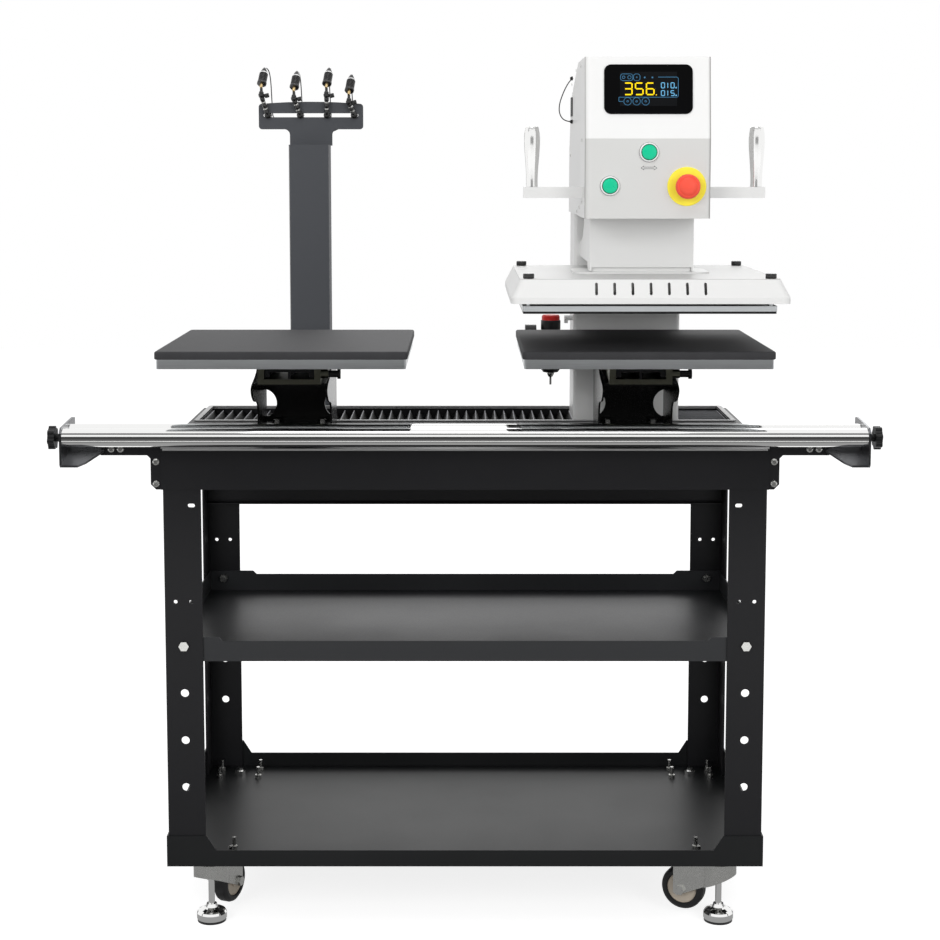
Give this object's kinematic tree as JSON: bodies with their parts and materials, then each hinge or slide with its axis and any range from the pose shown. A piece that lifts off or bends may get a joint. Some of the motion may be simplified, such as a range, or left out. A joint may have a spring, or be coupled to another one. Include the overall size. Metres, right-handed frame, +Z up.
{
  "type": "dual station heat press",
  "caption": "Shuttle heat press on a wheeled cart: one heated head slides along a trough between side-by-side padded platens, with guard rails and laser guides.",
  "frame": {"origin": "middle of the cart's footprint on the floor, at the levelling feet's soles", "axes": "+X to the right station, +Y to the rear, +Z up; the front with the guard tubes faces -Y"},
  "size_m": [1.2506, 0.6357, 1.3723],
  "materials": {
    "black_sheet": "satin powder coat",
    "gloss_black": "gloss powder coat",
    "white_paint": "satin powder coat",
    "grey_sheet": "satin",
    "grey_paint": "satin",
    "olive": "plated",
    "zinc": "zinc plated",
    "brushed": "ground",
    "chrome": "polished",
    "aluminium": "machined",
    "silicone": "matt silicone",
    "bellows": "matt coated fabric",
    "black_rubber": "matt",
    "black_plastic": "moulded",
    "polished_metal": "polished",
    "green_plastic": "moulded",
    "red_plastic": "moulded",
    "black_metal": "black anodised",
    "glass_black": "polished",
    "tyre": "moulded"
  },
  "bodies": {
    "cart": {"deck_pan": "black_sheet", "legs": "black_sheet", "lower_tray": "black_sheet", "upper_shelf": "black_sheet", "rear_panel": "black_sheet", "frame_bolts": "zinc", "outriggers": "black_sheet", "end_brackets": "grey_sheet", "guard_tubes": "chrome", "caster_plates": "zinc", "leveling_feet": "chrome", "trough_frame": "grey_sheet", "bellows_left": "bellows", "bellows_right": "bellows", "shuttle_drive": "brushed", "pedestals": "gloss_black", "sockets": "olive", "lower_platens": "aluminium", "silicone_pads": "silicone", "laser_post": "grey_paint", "laser_arms": "black_plastic", "laser_leads": "black_rubber"},
    "shuttle": {"carriage": "brushed", "column": "white_paint", "neck_housing": "white_paint", "control_housing": "white_paint", "control_panel": "white_paint", "display_glass": "glass_black", "button_bezels": "zinc", "handle_arms": "white_paint", "filter_regulator": "black_plastic", "press_cylinder": "aluminium"},
    "press": {"ram": "white_paint", "heat_cover": "white_paint", "cover_knobs": "black_plastic", "heat_platen": "aluminium", "heating_element": "brushed"},
    "lock_plunger_left_body": {"lock_plunger_left": "brushed"},
    "lock_plunger_right_body": {"lock_plunger_right": "brushed"},
    "star_knob_left_body": {"star_knob_left": "black_plastic"},
    "star_knob_right_body": {"star_knob_right": "black_plastic"},
    "brake_pedal_body": {"brake_pedal": "black_plastic"},
    "regulator_knob_body": {"regulator_knob": "black_plastic"},
    "grip_left_body": {"grip_left": "polished_metal"},
    "grip_right_body": {"grip_right": "polished_metal"},
    "start_button_body": {"start_button": "green_plastic"},
    "lamp_button_body": {"lamp_button": "green_plastic"},
    "estop_button_body": {"estop_button": "red_plastic"},
    "laser_1_body": {"laser_1": "black_metal"},
    "laser_2_body": {"laser_2": "black_metal"},
    "laser_3_body": {"laser_3": "black_metal"},
    "laser_4_body": {"laser_4": "black_metal"},
    "caster_front_left": {"fork_front_left": "zinc"},
    "caster_wheel_front_left": {"wheel_front_left": "tyre"},
    "caster_front_right": {"fork_front_right": "zinc"},
    "caster_wheel_front_right": {"wheel_front_right": "tyre"},
    "caster_rear_left": {"fork_rear_left": "zinc"},
    "caster_wheel_rear_left": {"wheel_rear_left": "tyre"},
    "caster_rear_right": {"fork_rear_right": "zinc"},
    "caster_wheel_rear_right": {"wheel_rear_right": "tyre"}
  },
  "joints": [
    {"name": "shuttle_slide", "type": "slide", "parent": "cart", "child": "shuttle", "axis": [1, 0, 0], "range_m": [-0.552, 0], "deforming": ["bellows_left", "bellows_right"]},
    {"name": "press_slide", "type": "slide", "parent": "shuttle", "child": "press", "axis": [0, 0, 1], "range_m": [-0.056, 0], "stiffness_N_per_m": 1500, "springref_m": 0.2},
    {"name": "start_button_push", "type": "slide", "parent": "shuttle", "child": "start_button_body", "axis": [0, 1, 0], "range_m": [0, 0.0028], "stiffness_N_per_m": 400, "springref_m": -0.003},
    {"name": "lamp_button_push", "type": "slide", "parent": "shuttle", "child": "lamp_button_body", "axis": [0, 1, 0], "range_m": [0, 0.0028], "stiffness_N_per_m": 400, "springref_m": -0.003},
    {"name": "estop_push", "type": "slide", "parent": "shuttle", "child": "estop_button_body", "axis": [0, 1, 0], "range_m": [0, 0.004]},
    {"name": "grip_left_spin", "type": "hinge", "parent": "shuttle", "child": "grip_left_body", "pos_m": [0.103, -0.174, 1.165], "axis": [0, 0, 1], "continuous": true},
    {"name": "grip_right_spin", "type": "hinge", "parent": "shuttle", "child": "grip_right_body", "pos_m": [0.449, -0.174, 1.165], "axis": [0, 0, 1], "continuous": true},
    {"name": "regulator_turn", "type": "hinge", "parent": "shuttle", "child": "regulator_knob_body", "pos_m": [0.148, 0.149, 0.914], "axis": [0, 0, 1], "range_deg": [-150, 150]},
    {"name": "laser_1_tilt", "type": "hinge", "parent": "cart", "child": "laser_1_body", "pos_m": [-0.363, 0.293, 1.326], "axis": [1, 0, 0], "range_deg": [-25, 25]},
    {"name": "laser_2_tilt", "type": "hinge", "parent": "cart", "child": "laser_2_body", "pos_m": [-0.305, 0.293, 1.32], "axis": [1, 0, 0], "range_deg": [-25, 25]},
    {"name": "laser_3_tilt", "type": "hinge", "parent": "cart", "child": "laser_3_body", "pos_m": [-0.247, 0.293, 1.326], "axis": [1, 0, 0], "range_deg": [-25, 25]},
    {"name": "laser_4_tilt", "type": "hinge", "parent": "cart", "child": "laser_4_body", "pos_m": [-0.207, 0.293, 1.314], "axis": [1, 0, 0], "range_deg": [-25, 25]},
    {"name": "star_knob_left_turn", "type": "hinge", "parent": "cart", "child": "star_knob_left_body", "pos_m": [-0.612, -0.286, 0.7907], "axis": [-1, 0, 0], "continuous": true},
    {"name": "star_knob_right_turn", "type": "hinge", "parent": "cart", "child": "star_knob_right_body", "pos_m": [0.612, -0.286, 0.7907], "axis": [1, 0, 0], "continuous": true},
    {"name": "lock_plunger_left_pull", "type": "slide", "parent": "cart", "child": "lock_plunger_left_body", "axis": [1, 0, 0], "range_m": [0, 0.008], "stiffness_N_per_m": 800, "springref_m": -0.006},
    {"name": "lock_plunger_right_pull", "type": "slide", "parent": "cart", "child": "lock_plunger_right_body", "axis": [1, 0, 0], "range_m": [0, 0.008], "stiffness_N_per_m": 800, "springref_m": -0.006},
    {"name": "caster_front_left_swivel", "type": "hinge", "parent": "cart", "child": "caster_front_left", "pos_m": [-0.404, -0.195, 0.098], "axis": [0, 0, 1], "continuous": true},
    {"name": "wheel_front_left_roll", "type": "hinge", "parent": "caster_front_left", "child": "caster_wheel_front_left", "pos_m": [-0.38227, -0.14122, 0.046], "axis": [-0.9272, 0.3746, 0], "continuous": true},
    {"name": "caster_front_right_swivel", "type": "hinge", "parent": "cart", "child": "caster_front_right", "pos_m": [0.404, -0.195, 0.098], "axis": [0, 0, 1], "continuous": true},
    {"name": "wheel_front_right_roll", "type": "hinge", "parent": "caster_front_right", "child": "caster_wheel_front_right", "pos_m": [0.35187, -0.16957, 0.046], "axis": [-0.4384, -0.8988, 0], "continuous": true},
    {"name": "caster_rear_left_swivel", "type": "hinge", "parent": "cart", "child": "caster_rear_left", "pos_m": [-0.404, 0.195, 0.098], "axis": [0, 0, 1], "continuous": true},
    {"name": "wheel_rear_left_roll", "type": "hinge", "parent": "caster_rear_left", "child": "caster_wheel_rear_left", "pos_m": [-0.346, 0.195, 0.046], "axis": [0, 1, 0], "continuous": true},
    {"name": "caster_rear_right_swivel", "type": "hinge", "parent": "cart", "child": "caster_rear_right", "pos_m": [0.404, 0.195, 0.098], "axis": [0, 0, 1], "continuous": true},
    {"name": "wheel_rear_right_roll", "type": "hinge", "parent": "caster_rear_right", "child": "caster_wheel_rear_right", "pos_m": [0.346, 0.195, 0.046], "axis": [0, -1, 0], "continuous": true},
    {"name": "brake_pedal_push", "type": "hinge", "parent": "caster_front_left", "child": "brake_pedal_body", "pos_m": [-0.38452, -0.14679, 0.0867], "axis": [-0.9272, 0.3746, 0], "range_deg": [0, 10]}
  ]
}
